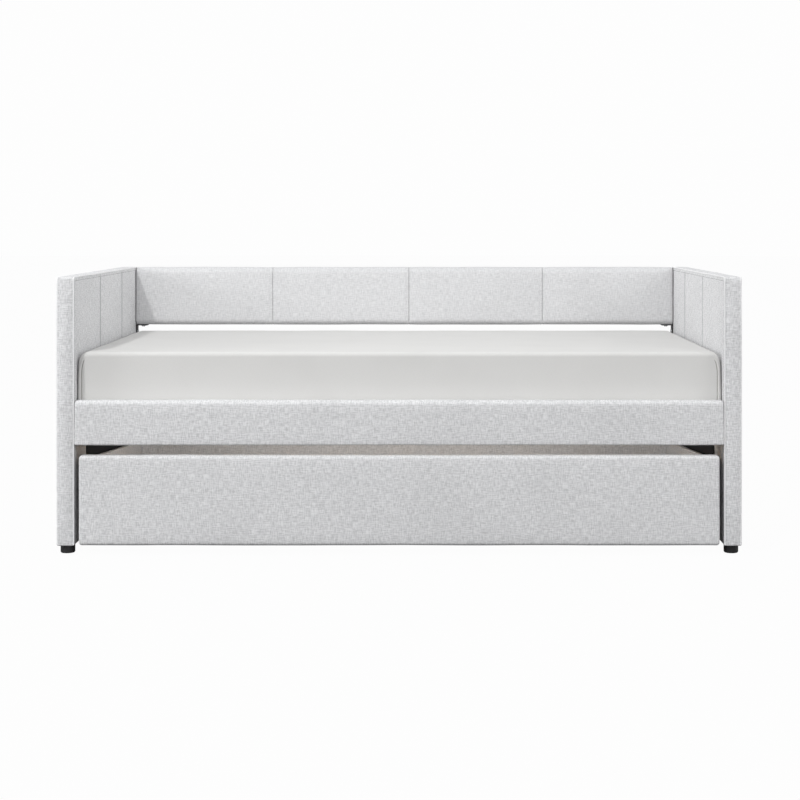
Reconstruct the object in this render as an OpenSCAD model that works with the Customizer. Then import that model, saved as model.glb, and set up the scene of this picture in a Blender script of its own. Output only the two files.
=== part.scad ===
// Upholstered daybed with slab arms, a low back panel and a roll-out trundle.
// Millimetres. The origin is on the floor under the middle of the bed, the front faces -Y and +Z is up.

/* [Bed] */
// Clear width between the two arms
inner_w = 1920; // [1915:1:1960]
// Depth of the arms, from front to rear
bed_d = 1075; // [1072:1:1110]
// Height of the arms and of the back panel's top edge
bed_h = 820; // [815:1:860]

/* [Upholstery] */
// Thickness of the padded covers over their wooden cores
cover_t = 4; // [3:0.5:6]
// Radius of the covers' corners as seen from the side
cover_r = 9; // [5:1:15]
// Thickness of the black lining cloth
lining_t = 1; // [0.8:0.1:1.5]
// How far behind the front the lining starts
lining_start = 180; // [120:10:300]
// Height of the lining's top edge above the floor
lining_top = 320; // [280:5:322]

/* [Arms and back] */
// Thickness of an arm over its cover
arm_t = 53; // [50:1:70]
// Thickness of the back panel over its cover
back_t = 53; // [45:1:53]
// Height of the back panel from its lower edge to its top
back_h = 206; // [180:1:215]

/* [Rails] */
// Thickness of the front and rear rails over their covers
rail_t = 45; // [40:1:48]
// Height of the rails
rail_h = 132; // [125:1:145]
// Height of the rails' underside above the floor
rail_z = 323; // [322:1:330]

/* [Slats] */
// Width of a slat
slat_w = 70; // [50:1:80]
// Thickness of a slat
slat_t = 20; // [15:1:22]
// Number of slats under the mattress
bed_slat_count = 10; // [8:1:10]
// Number of slats in the trundle
trundle_slat_count = 9; // [7:1:9]
// Width of the ledges and cleats that carry the slats
ledge_w = 22; // [18:1:25]
// Height of the ledges under the bed slats
ledge_h = 35; // [30:1:40]
// Width of the webbing tapes that join the bed slats
webbing_w = 25; // [20:1:40]

/* [Mattress] */
// Length of the mattress
mattress_l = 1905; // [1880:1:1908]
// Width of the mattress
mattress_w = 965; // [940:1:970]
// Thickness of the mattress
mattress_t = 203; // [150:1:205]
// Radius of the mattress's upright corners
mattress_r = 15; // [10:5:80]
// Thickness of the padding around the hollow of the spring core
mattress_wall = 18; // [15:1:40]

/* [Feet] */
// Diameter of a foot
foot_d = 43; // [35:1:48]
// Height of a foot, which is the clearance under the arms
foot_h = 28; // [25:1:35]
// How far behind the front a foot's centre stands
foot_inset = 48; // [40:1:100]

/* [Trundle] */
// Gap between the trundle's front panel and each arm
trundle_gap = 13.5; // [10:0.5:15]
// Height of the front panel's lower edge above the floor
trundle_lift = 29; // [26:1:32]
// Height of the trundle's front panel
trundle_front_h = 267; // [255:1:270]
// Thickness of the side and back boards
board_t = 16; // [15:1:18]
// Height of the side boards' lower edge above the floor
board_lift = 40; // [38:1:44]
// Height of the side boards' top edge at the front
side_front_z = 277; // [240:1:280]
// Height of the side boards' top edge at the rear, and of the back board
side_rear_z = 205; // [180:1:230]
// Depth of the trundle from front to rear
trundle_d = 1005.5; // [990:0.5:1010]
// Height of the top of the cleats that carry the trundle's slats
cleat_top = 98; // [96:1:110]
// Height of the cleats
cleat_h = 24; // [20:1:26]

/* [Casters] */
// Diameter of a caster wheel
wheel_d = 50; // [50:1:52]
// Width of a caster wheel over its hub
wheel_w = 22; // [18:1:24]
// Distance of the front wheels behind the front
front_wheel_inset = 210; // [190:5:260]
// Distance of the rear wheels ahead of the trundle's rear
rear_wheel_inset = 90; // [70:5:160]
// Thickness of the caster brackets' sheet
caster_t = 2.5; // [2:0.1:2.8]

/* [Fasteners] */
// Thread diameter of the frame bolts and of the feet's studs
bolt_d = 8; // [6:1:8]
// Length of a frame bolt under its head
bolt_l = 30; // [25:1:34]
// Thickness of the frame brackets
bracket_t = 3; // [2.5:0.1:3]

/* [Hidden] */
$fn = 64;

function two_digits(n) = n < 10 ? str("0", n) : str(n);
function bed_slat_name(n) = str("bed_slat_", two_digits(n));
function trundle_slat_name(n) = str("trundle_slat_", two_digits(n));

fabric = "#cfcfd1";
lining_black = "#232324";
board = "#c9a87a";
slat_wood = "#d9bd92";
steel_black = "#2b2b2d";
zinc = "#b9bcc0";
plastic_black = "#1e1e1f";

front_y = -bed_d / 2;
rear_y = bed_d / 2;
arm_x = inner_w / 2;
rail_back_y = front_y + rail_t;
joint_gap = 0.5;        // between the ends of the panels and the arms
slip = 0.1;             // radial play around bolts and screws in their holes

ledge_rise = 47;        // from the rails' underside to the ledges' top
ledge_top = rail_z + ledge_rise;
slat_gap = 1;           // between a slat's end and the rail or panel beside it
slat_margin = 105;      // from an arm to the middle of the slat next to it
slat_span = inner_w - 2 * slat_margin;
ledge_l = slat_span + slat_w + 4;
back_z = bed_h - back_h;

mattress_gap = 6;       // between the mattress and the front rail
mattress_y = rail_back_y + mattress_gap + mattress_w / 2;
mattress_z = ledge_top + slat_t;

bracket_z = rail_z + 2;
bracket_h = 61;
bracket_leg = 60;
bolt_head_d = 14;
bolt_head_h = 4.2;
bolt_socket_d = 5.8;
bolt_socket_depth = 2.4;
bolt_heights = [rail_z + 15, rail_z + 50];
bolt_reach = 40;        // from a bracket's corner to the bolts in its legs
back_bracket_w = 35;
back_bracket_leg = 40;
back_bracket_inset = 2; // ahead of the back panel's rear face
back_bolt_reach = 24;
nut_flange_r = 10;
nut_flange_t = 1.5;
nut_r = 5.5;
nut_l = 15;
stud_l = 24;            // of a foot's stud inside the arm

screw_d = 5;
screw_head_d = 9;
screw_head_h = 3;
long_screw_l = 36;
long_recess = 4.5;
short_screw_d = 4;
short_screw_l = 14;
short_head_r = 4;
short_head_h = 2.2;
short_recess = 3.4;
ledge_screw_x = [-850, -300, 300, 850];

trundle_w = inner_w - 2 * trundle_gap;
trundle_top = trundle_lift + trundle_front_h;
side_x = trundle_w / 2 - 2.5;       // outer face of a side board
side_in = side_x - board_t;         // inner face of a side board
trundle_rear = front_y + trundle_d;
back_board_y = trundle_rear - board_t;
cleat_l = 1800;
board_screw_z = [85, 160];
corner_z = 140;         // lower edge of the trundle's corner brackets
corner_h = 60;
corner_leg = 50;
corner_reach = 36;      // from the brackets' corner to their screws
corner_margin = 15;     // from the brackets' upper and lower edges to their screws

axle_d = 8;
axle_play = 0.06;
axle_z = wheel_d / 2;
cheek_gap = wheel_w + 2;
cheek_w = 26;
caster_web_z = wheel_d + 5;
caster_plate_top = 92;
caster_plate_w = 70;
caster_plate_drop = 8;  // of the plate below the web
caster_screw_z = 76;
caster_screw_step = 24;
rivet_r = 6;
rivet_h = 2;
hub_r = 9;
web_inset = 4;          // of the wheel's web behind its hub
rim_t = 6;
tread_r = 2.5;
caster_x = side_in - caster_t - cheek_gap / 2;
caster_y = [front_y + front_wheel_inset, trundle_rear - rear_wheel_inset];
foot_y = front_y + foot_inset;

// --- placing -------------------------------------------------------------

// Repeats what stands in the right front corner in the other three corners
module in_each_corner() {
    for (turn = [0, 180]) rotate([0, 0, turn]) {
        children();
        mirror([1, 0, 0]) children();
    }
}

// Repeats what stands on the right side on the left side
module on_both_sides() {
    children();
    mirror([1, 0, 0]) children();
}

// A bolt's or screw's own frame has its head at +Z and its shank at -Z
module head_to_centre() rotate([0, -90, 0]) children();
module head_to_rear() rotate([-90, 0, 0]) children();
module head_to_front() rotate([90, 0, 0]) children();
module head_down() rotate([180, 0, 0]) children();

module at_rail_bolts() {
    for (z = bolt_heights) {
        translate([arm_x - bracket_t, rail_back_y + bolt_reach, z]) head_to_centre() children();
        translate([arm_x - bolt_reach, rail_back_y + bracket_t, z]) head_to_rear() children();
    }
}

module at_back_bolts() {
    middle_y = rear_y - back_bracket_w / 2 - back_bracket_inset;
    translate([arm_x - bracket_t, middle_y, back_z - back_bolt_reach]) head_to_centre() children();
    translate([arm_x - back_bolt_reach, middle_y, back_z - bracket_t]) head_down() children();
}

module at_ledge_screws() {
    for (x = ledge_screw_x)
        translate([x, rail_back_y + ledge_w, ledge_top - ledge_h / 2]) head_to_rear() children();
}

module at_front_cleat_screws() {
    for (x = ledge_screw_x)
        translate([x, rail_back_y + ledge_w, cleat_top - cleat_h / 2]) head_to_rear() children();
}

module at_back_board_screws() {
    for (x = ledge_screw_x)
        translate([x, trundle_rear, cleat_top - cleat_h / 2]) head_to_rear() children();
    for (side = [-1, 1], z = board_screw_z)
        translate([side * (side_x - board_t / 2), trundle_rear, z]) head_to_rear() children();
}

module at_corner_bracket_screws() {
    for (z = [corner_z + corner_margin, corner_z + corner_h - corner_margin]) {
        translate([side_in - caster_t, rail_back_y + corner_reach, z]) head_to_centre() children();
        translate([side_in - corner_reach, rail_back_y + caster_t, z]) head_to_rear() children();
    }
}

module at_caster_screws() {
    for (y = caster_y, step = [-1, 1])
        translate([side_in - caster_t, y + step * caster_screw_step, caster_screw_z])
            head_to_centre() children();
}

// --- shapes used by several parts ----------------------------------------

// Rectangle from the origin with two or four corners rounded, kept as squares and circles
module rounded_rect(w, h, r, lower = true) {
    union() {
        translate([r, 0]) square([w - 2 * r, h]);
        translate([0, lower ? r : 0]) square([w, h - (lower ? 2 : 1) * r]);
        for (x = [r, w - r]) {
            translate([x, h - r]) circle(r);
            if (lower) translate([x, r]) circle(r);
        }
    }
}

// Stands a profile drawn in Y and Z up and extrudes it along X
module along_x(length) rotate([90, 0, 90]) linear_extrude(length) children();

module bolt(shank) {
    difference() {
        union() {
            translate([0, 0, -shank]) cylinder(d = bolt_d, h = shank);
            rotate_extrude() polygon([
                [0, 0], [bolt_head_d / 2, 0], [bolt_head_d / 2, bolt_head_h / 3],
                [bolt_head_d / 3, bolt_head_h], [0, bolt_head_h]]);
        }
        translate([0, 0, bolt_head_h - bolt_socket_depth])
            cylinder(d = bolt_socket_d, h = bolt_socket_depth + 1, $fn = 6);
    }
}

module bolt_hole() translate([0, 0, -bolt_l - 2]) cylinder(d = bolt_d + 2 * slip, h = bolt_l + 3);

// Countersunk wood screw, flush with the face it is driven into
module long_screw() {
    difference() {
        union() {
            translate([0, 0, -long_screw_l]) cylinder(d = screw_d, h = long_screw_l);
            translate([0, 0, -screw_head_h]) cylinder(d1 = screw_d, d2 = screw_head_d, h = screw_head_h);
        }
        cross_recess(long_recess);
    }
}

module long_screw_hole() {
    translate([0, 0, -long_screw_l - 1]) cylinder(d = screw_d + 2 * slip, h = long_screw_l + 2);
    translate([0, 0, -screw_head_h])
        cylinder(d1 = screw_d + 2 * slip, d2 = screw_head_d + 2 * slip, h = screw_head_h + 0.01);
}

// Pan-head sheet screw for brackets
module short_screw() {
    difference() {
        union() {
            translate([0, 0, -short_screw_l]) cylinder(d = short_screw_d, h = short_screw_l);
            rotate_extrude() polygon([
                [0, 0], [short_head_r, 0], [short_head_r, short_head_h * 0.4],
                [short_head_r * 0.65, short_head_h], [0, short_head_h]]);
        }
        translate([0, 0, short_head_h]) cross_recess(short_recess);
    }
}

module short_screw_hole() {
    translate([0, 0, -short_screw_l - 1]) cylinder(d = short_screw_d + 2 * slip, h = short_screw_l + 2);
}

module cross_recess(reach) {
    for (turn = [0, 90]) rotate([0, 0, turn]) translate([-reach / 2, -0.5, -1.4]) cube([reach, 1, 2]);
}

// --- arms ----------------------------------------------------------------

module arm_profile(inset) {
    translate([front_y + inset, foot_h])
        rounded_rect(bed_d - 2 * inset, bed_h - foot_h - inset, cover_r - inset / 2, lower = false);
}

module arm_bolt_holes() {
    at_rail_bolts() bolt_hole();
    mirror([0, 1, 0]) at_rail_bolts() bolt_hole();
    at_back_bolts() bolt_hole();
}

module at_feet() for (y = [foot_y, -foot_y]) translate([arm_x + arm_t / 2, y, foot_h]) children();

module arm_core() {
    difference() {
        translate([arm_x + cover_t, 0, 0]) along_x(arm_t - 2 * cover_t) arm_profile(cover_t);
        arm_bolt_holes();
        at_feet() {
            translate([0, 0, -1]) cylinder(r = nut_flange_r + slip, h = nut_flange_t + slip + 1);
            translate([0, 0, -1]) cylinder(r = nut_r + slip, h = nut_l + slip + 1);
            translate([0, 0, -1]) cylinder(r = bolt_d / 2 + 5 * slip, h = stud_l + 5);
        }
    }
}

module arm_cover() {
    difference() {
        translate([arm_x, 0, 0]) along_x(arm_t) arm_profile(0);
        translate([arm_x + cover_t, 0, 0]) along_x(arm_t - 2 * cover_t) arm_profile(cover_t);
        arm_bolt_holes();
    }
}

module arm_lining() {
    translate([arm_x - lining_t, front_y + lining_start, foot_h + 12])
        cube([lining_t, bed_d - lining_start - 37, lining_top - foot_h - 12]);
}

module left_arm_core() color(board) mirror([1, 0, 0]) arm_core();
module right_arm_core() color(board) arm_core();
module left_arm_cover() color(fabric) mirror([1, 0, 0]) arm_cover();
module right_arm_cover() color(fabric) arm_cover();
module left_arm_lining() color(lining_black) mirror([1, 0, 0]) arm_lining();
module right_arm_lining() color(lining_black) arm_lining();

// --- back panel and rails -------------------------------------------------

module back_profile(inset) {
    translate([rear_y - back_t + inset, back_z + inset])
        rounded_rect(back_t - 2 * inset, back_h - 2 * inset, cover_r - inset / 2);
}

module panel_length(gap) translate([-arm_x + gap, 0, 0]) along_x(inner_w - 2 * gap) children();

module back_panel_core() color(board) difference() {
    panel_length(joint_gap) back_profile(cover_t);
    on_both_sides() at_back_bolts() bolt_hole();
}

module back_panel_cover() color(fabric) difference() {
    panel_length(joint_gap) back_profile(0);
    panel_length(-1) back_profile(cover_t);
    on_both_sides() at_back_bolts() bolt_hole();
}

module rail_profile(inset) {
    translate([front_y + inset, rail_z + inset])
        rounded_rect(rail_t - 2 * inset, rail_h - 2 * inset, cover_r - inset / 2);
}

module rail_holes() {
    on_both_sides() at_rail_bolts() bolt_hole();
    at_ledge_screws() long_screw_hole();
}

module rail_core() difference() {
    panel_length(joint_gap) rail_profile(cover_t);
    rail_holes();
}

module rail_cover() difference() {
    panel_length(joint_gap) rail_profile(0);
    panel_length(-1) rail_profile(cover_t);
    rail_holes();
}

module front_rail_core() color(board) rail_core();
module front_rail_cover() color(fabric) rail_cover();
module rear_rail_core() color(board) mirror([0, 1, 0]) rail_core();
module rear_rail_cover() color(fabric) mirror([0, 1, 0]) rail_cover();

// --- slats under the mattress ---------------------------------------------

module slat_ledge() difference() {
    translate([-ledge_l / 2, rail_back_y, ledge_top - ledge_h]) cube([ledge_l, ledge_w, ledge_h]);
    at_ledge_screws() long_screw_hole();
}

module front_slat_ledge() color(board) slat_ledge();
module rear_slat_ledge() color(board) mirror([0, 1, 0]) slat_ledge();

module ledge_screws() color(zinc) for (turn = [0, 180]) rotate([0, 0, turn]) at_ledge_screws() long_screw();

function slat_x(n, count) = -slat_span / 2 + (n - 1) * slat_span / (count - 1);

module slat(x, y, length, z) {
    translate([x - slat_w / 2, y, z]) rotate([-90, 0, 0]) mirror([0, 1, 0])
        linear_extrude(length) rounded_rect(slat_w, slat_t, 3);
}

module bed_slat(n) color(slat_wood)
    slat(slat_x(n, bed_slat_count), rail_back_y + slat_gap, bed_d - 2 * rail_t - 2 * slat_gap, ledge_top);

module slat_webbing() color("#e8e6e0") for (y = [-300, 300])
    translate([-slat_span / 2 - slat_w / 2, y - webbing_w / 2, ledge_top - 1])
        cube([slat_span + slat_w, webbing_w, 1]);

// --- mattress --------------------------------------------------------------

module mattress() color("#e2e0dd") translate([0, mattress_y, mattress_z]) difference() {
    translate([-mattress_l / 2, -mattress_w / 2, 0])
        linear_extrude(mattress_t) rounded_rect(mattress_l, mattress_w, mattress_r);
    translate([-mattress_l / 2 + mattress_wall, -mattress_w / 2 + mattress_wall, mattress_wall])
        cube([mattress_l - 2 * mattress_wall, mattress_w - 2 * mattress_wall, mattress_t - 2 * mattress_wall]);
}

// --- frame metalwork and feet -----------------------------------------------

module rail_brackets() color(steel_black) in_each_corner() difference() {
    translate([0, 0, bracket_z]) linear_extrude(bracket_h) union() {
        translate([arm_x - bracket_t, rail_back_y]) square([bracket_t, bracket_leg]);
        translate([arm_x - bracket_leg, rail_back_y]) square([bracket_leg, bracket_t]);
    }
    at_rail_bolts() bolt_hole();
}

module back_panel_brackets() color(steel_black) on_both_sides() difference() {
    translate([0, rear_y - back_bracket_w - back_bracket_inset, 0]) union() {
        translate([arm_x - bracket_t, 0, back_z - back_bracket_leg])
            cube([bracket_t, back_bracket_w, back_bracket_leg]);
        translate([arm_x - back_bracket_leg, 0, back_z - bracket_t])
            cube([back_bracket_leg, back_bracket_w, bracket_t]);
    }
    at_back_bolts() bolt_hole();
}

module frame_bolts() color(zinc) {
    in_each_corner() at_rail_bolts() bolt(bolt_l);
    on_both_sides() at_back_bolts() bolt(bolt_l);
}

// Round foot with its threaded stud; x and y say which corner it stands in
module foot(x, y) color(plastic_black) translate([x * (arm_x + arm_t / 2), y * -foot_y, 0]) {
    rotate_extrude() polygon([
        [0, 0], [foot_d / 2 - 2, 0], [foot_d / 2, 3], [foot_d / 2, foot_h - 4],
        [foot_d / 2 - 2, foot_h], [0, foot_h]]);
    translate([0, 0, foot_h - 1]) cylinder(d = bolt_d, h = stud_l + 1);
}

module foot_front_left() foot(-1, -1);
module foot_front_right() foot(1, -1);
module foot_rear_left() foot(-1, 1);
module foot_rear_right() foot(1, 1);

module foot_t_nuts() color(zinc) on_both_sides() at_feet() difference() {
    union() {
        cylinder(r = nut_flange_r, h = nut_flange_t);
        cylinder(r = nut_r, h = nut_l);
    }
    translate([0, 0, -1]) cylinder(r = bolt_d / 2 + slip / 2, h = nut_l + 2);
}

// --- trundle ----------------------------------------------------------------

module trundle_front_core() color(board) difference() {
    translate([-trundle_w / 2 + cover_t, front_y + cover_t, trundle_lift + cover_t])
        cube([trundle_w - 2 * cover_t, rail_t - cover_t, trundle_front_h - 2 * cover_t]);
    at_front_cleat_screws() long_screw_hole();
    on_both_sides() at_corner_bracket_screws() short_screw_hole();
}

module trundle_front_cover() color(fabric) difference() {
    translate([-trundle_w / 2, 0, 0]) along_x(trundle_w) translate([front_y, trundle_lift]) union() {
        rounded_rect(rail_t, trundle_front_h, cover_r);
        translate([cover_r, 0]) square([rail_t - cover_r, trundle_front_h]);
    }
    translate([-trundle_w / 2 + cover_t, front_y + cover_t, trundle_lift + cover_t])
        cube([trundle_w - 2 * cover_t, rail_t, trundle_front_h - 2 * cover_t]);
}

// Side board whose top edge falls towards the rear
module side_board() difference() {
    translate([side_in, 0, 0]) along_x(board_t) polygon([
        [rail_back_y, board_lift], [back_board_y, board_lift],
        [back_board_y, side_rear_z], [rail_back_y, side_front_z]]);
    at_back_board_screws() long_screw_hole();
    at_corner_bracket_screws() short_screw_hole();
    at_caster_screws() short_screw_hole();
}

module trundle_left_side() color(fabric) mirror([1, 0, 0]) side_board();
module trundle_right_side() color(fabric) side_board();

module trundle_back_board() color(fabric) difference() {
    translate([-side_x, back_board_y, board_lift]) cube([2 * side_x, board_t, side_rear_z - board_lift]);
    at_back_board_screws() long_screw_hole();
}

module cleat(y) translate([-cleat_l / 2, y, cleat_top - cleat_h]) cube([cleat_l, ledge_w, cleat_h]);

module trundle_front_cleat() color(board) difference() {
    cleat(rail_back_y);
    at_front_cleat_screws() long_screw_hole();
}

module trundle_rear_cleat() color(board) difference() {
    cleat(back_board_y - ledge_w);
    at_back_board_screws() long_screw_hole();
}

module trundle_slat(n) color(slat_wood)
    slat(slat_x(n, trundle_slat_count), rail_back_y + slat_gap,
         back_board_y - rail_back_y - 2 * slat_gap, cleat_top);

module trundle_corner_brackets() color(steel_black) on_both_sides() difference() {
    translate([0, 0, corner_z]) linear_extrude(corner_h) union() {
        translate([side_in - caster_t, rail_back_y]) square([caster_t, corner_leg]);
        translate([side_in - corner_leg, rail_back_y]) square([corner_leg, caster_t]);
    }
    at_corner_bracket_screws() short_screw_hole();
}

module trundle_long_screws() color(zinc) {
    at_front_cleat_screws() long_screw();
    at_back_board_screws() long_screw();
}

module trundle_short_screws() color(zinc) on_both_sides() {
    at_corner_bracket_screws() short_screw();
    at_caster_screws() short_screw();
}

// --- casters ------------------------------------------------------------------

// Tongue of a caster bracket, round about the axle
module cheek_profile() union() {
    translate([0, axle_z]) circle(d = cheek_w);
    translate([-cheek_w / 2, axle_z]) square([cheek_w, caster_web_z + caster_t - axle_z]);
}

module plate_profile() union() {
    cheek_profile();
    translate([-caster_plate_w / 2, caster_web_z - caster_plate_drop])
        square([caster_plate_w, caster_plate_top - caster_web_z + caster_plate_drop]);
}

module caster_bracket() difference() {
    union() {
        translate([side_in - caster_t, 0, 0]) along_x(caster_t) plate_profile();
        translate([side_in - 2 * caster_t - cheek_gap, 0, 0]) along_x(caster_t) cheek_profile();
        translate([side_in - 2 * caster_t - cheek_gap, -cheek_w / 2, caster_web_z])
            cube([cheek_gap + 2 * caster_t, cheek_w, caster_t]);
    }
    translate([side_in - 40, 0, axle_z]) rotate([0, 90, 0]) cylinder(d = axle_d + 2 * slip, h = 60);
}

module caster_brackets() color(steel_black) on_both_sides() difference() {
    for (y = caster_y) translate([0, y, 0]) caster_bracket();
    at_caster_screws() short_screw_hole();
}

module caster_axles() color(zinc) on_both_sides() for (y = caster_y)
    translate([caster_x, y, axle_z]) rotate([0, 90, 0]) union() {
        cylinder(d = axle_d, h = cheek_gap + 2 * caster_t, center = true);
        for (end = [-1, 1]) translate([0, 0, end * (cheek_gap / 2 + caster_t + rivet_h / 2)])
            cylinder(r = rivet_r, h = rivet_h, center = true);
    }

// Wheel with a full hub and rim and a thinner web between them
module wheel(x, y) color("#5c5d60") translate([x * caster_x, y, axle_z]) rotate([0, 90, 0])
    rotate_extrude($fn = 96) union() {
        half = wheel_w / 2;
        rim = wheel_d / 2;
        bore = axle_d / 2 + axle_play;
        translate([bore, -half]) square([hub_r - bore, 2 * half]);
        translate([hub_r - 1, -half + web_inset]) square([rim - hub_r - tread_r, 2 * (half - web_inset)]);
        translate([rim - rim_t, -half + 1.5]) square([rim_t - tread_r, 2 * half - 3]);
        translate([rim - rim_t, -half + 1.5 + tread_r]) square([rim_t, 2 * (half - 1.5 - tread_r)]);
        for (end = [-1, 1]) translate([rim - tread_r, end * (half - 1.5 - tread_r)]) circle(tread_r, $fn = 32);
    }

module wheel_front_left() wheel(-1, caster_y[0]);
module wheel_front_right() wheel(1, caster_y[0]);
module wheel_rear_left() wheel(-1, caster_y[1]);
module wheel_rear_right() wheel(1, caster_y[1]);

// --- the nodes -------------------------------------------------------------------

left_arm_core();
left_arm_cover();
left_arm_lining();
right_arm_core();
right_arm_cover();
right_arm_lining();
back_panel_core();
back_panel_cover();
front_rail_core();
front_rail_cover();
rear_rail_core();
rear_rail_cover();
front_slat_ledge();
rear_slat_ledge();
ledge_screws();
rail_brackets();
back_panel_brackets();
frame_bolts();
foot_front_left();
foot_front_right();
foot_rear_left();
foot_rear_right();
foot_t_nuts();
slat_webbing();
mattress();
trundle_front_core();
trundle_front_cover();
trundle_left_side();
trundle_right_side();
trundle_back_board();
trundle_front_cleat();
trundle_rear_cleat();
trundle_corner_brackets();
trundle_long_screws();
trundle_short_screws();
caster_brackets();
caster_axles();
wheel_front_left();
wheel_front_right();
wheel_rear_left();
wheel_rear_right();
for (n = [1 : bed_slat_count])
    bed_slat(n);
for (n = [1 : trundle_slat_count])
    trundle_slat(n);
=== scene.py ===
import math

import bmesh
import bpy
import numpy as np
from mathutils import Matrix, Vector, noise
from mathutils.bvhtree import BVHTree


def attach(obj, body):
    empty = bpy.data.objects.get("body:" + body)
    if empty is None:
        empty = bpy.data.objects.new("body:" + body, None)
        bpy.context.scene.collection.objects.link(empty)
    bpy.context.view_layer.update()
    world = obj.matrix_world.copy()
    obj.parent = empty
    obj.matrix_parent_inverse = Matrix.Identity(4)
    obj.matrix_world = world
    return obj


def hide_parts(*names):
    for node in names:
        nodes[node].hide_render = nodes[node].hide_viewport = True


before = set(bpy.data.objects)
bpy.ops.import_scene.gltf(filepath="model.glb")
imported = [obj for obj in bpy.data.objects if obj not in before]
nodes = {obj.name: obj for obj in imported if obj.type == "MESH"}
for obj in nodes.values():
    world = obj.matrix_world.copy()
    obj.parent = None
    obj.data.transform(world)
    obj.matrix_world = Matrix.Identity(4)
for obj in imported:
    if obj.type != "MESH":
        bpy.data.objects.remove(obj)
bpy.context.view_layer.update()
mm = 0.001
scene = bpy.context.scene


# Studio: a level camera in front of the bed, a pale floor, a white room and six soft lamps.
studio = {
    "place": (0.091, -5.4105, 0.988),
    "lens": 74.4,
    "shift": (-0.0375, -0.225),
    "white": 0.985,       # what the camera sees of the room
    "ambient": 0.905,     # what the room gives to the bed
    "level": 1.25,        # the same at the horizon, before ambient
    "tint": (0.98, 0.985, 0.995),
    "floorSpan": 80,
    "floorGlow": 0.94,    # share of the floor that shines white instead of taking shadows
    "floorGain": 1.05,
    "floorTone": 0.17,
    "overhead": 0.6,      # share of the room's light that is missing straight above
}
lamps = {
    "keyLamp": {"at": (-0.96, 0.48, 0.82), "aim": (0.26, 0.72, -0.68), "far": 7.0, "size": (0.52, 0.52),
                "power": 161},
    "fillLamp": {"at": (0.96, 0.48, 0.82), "aim": (-0.6, 0.85, -0.43), "far": 4.5, "size": (1.6, 1.6),
                 "power": 20},
    "frontLamp": {"at": (0.0, -0.5, 0.35), "aim": (0.0, 0.99, -0.132), "far": 5.0, "size": (1.8, 0.16),
                  "power": 8.4},
    "leftLamp": {"at": (0.5, 0.1, 0.7), "aim": (0.93, 0.3, -0.2), "far": 5.0, "size": (1.4, 1.4),
                 "power": 40},
    "rightLamp": {"at": (-0.5, 0.1, 0.7), "aim": (-0.93, 0.3, -0.2), "far": 5.0, "size": (1.4, 1.4),
                  "power": 13},
    "wellLamp": {"at": (0.0, -0.1, 0.24), "aim": (0.0, 0.97, -0.24), "far": 0.33, "size": (1.4, 0.05),
                 "power": 3.9},
}


def put(tree, kind, values=None, **settings):
    node = tree.nodes.new(kind)
    for key, value in settings.items():
        setattr(node, key, value)
    for key, value in (values or {}).items():
        if isinstance(value, bpy.types.NodeSocket):
            tree.links.new(value, node.inputs[key])
        else:
            node.inputs[key].default_value = value
    return node


def calc(tree, operation, *values):
    return put(tree, "ShaderNodeMath", dict(enumerate(values)), operation=operation).outputs[0]


def newGroup(name, kind, inputs, outputs):
    group = bpy.data.node_groups.new(name, kind)
    for label, (sort, value) in inputs.items():
        socket = group.interface.new_socket(label, in_out="INPUT", socket_type="NodeSocket" + sort)
        if value is not None:
            socket.default_value = value
    for label, sort in outputs.items():
        group.interface.new_socket(label, in_out="OUTPUT", socket_type="NodeSocket" + sort)
    return group, group.nodes.new("NodeGroupInput").outputs, group.nodes.new("NodeGroupOutput").inputs


def aimLamp(name, lamp):
    data = bpy.data.lights.new(name, "AREA")
    data.shape = "ELLIPSE" if lamp["size"][0] == lamp["size"][1] else "RECTANGLE"
    data.size, data.size_y = lamp["size"]
    data.energy = lamp["power"]
    holder = bpy.data.objects.new(name, data)
    aim = Vector(lamp["aim"]).normalized()
    holder.location = Vector(lamp["at"]) - aim * lamp["far"]
    holder.rotation_euler = aim.to_track_quat("-Z", "Y").to_euler()
    holder.visible_camera = False
    scene.collection.objects.link(holder)


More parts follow.
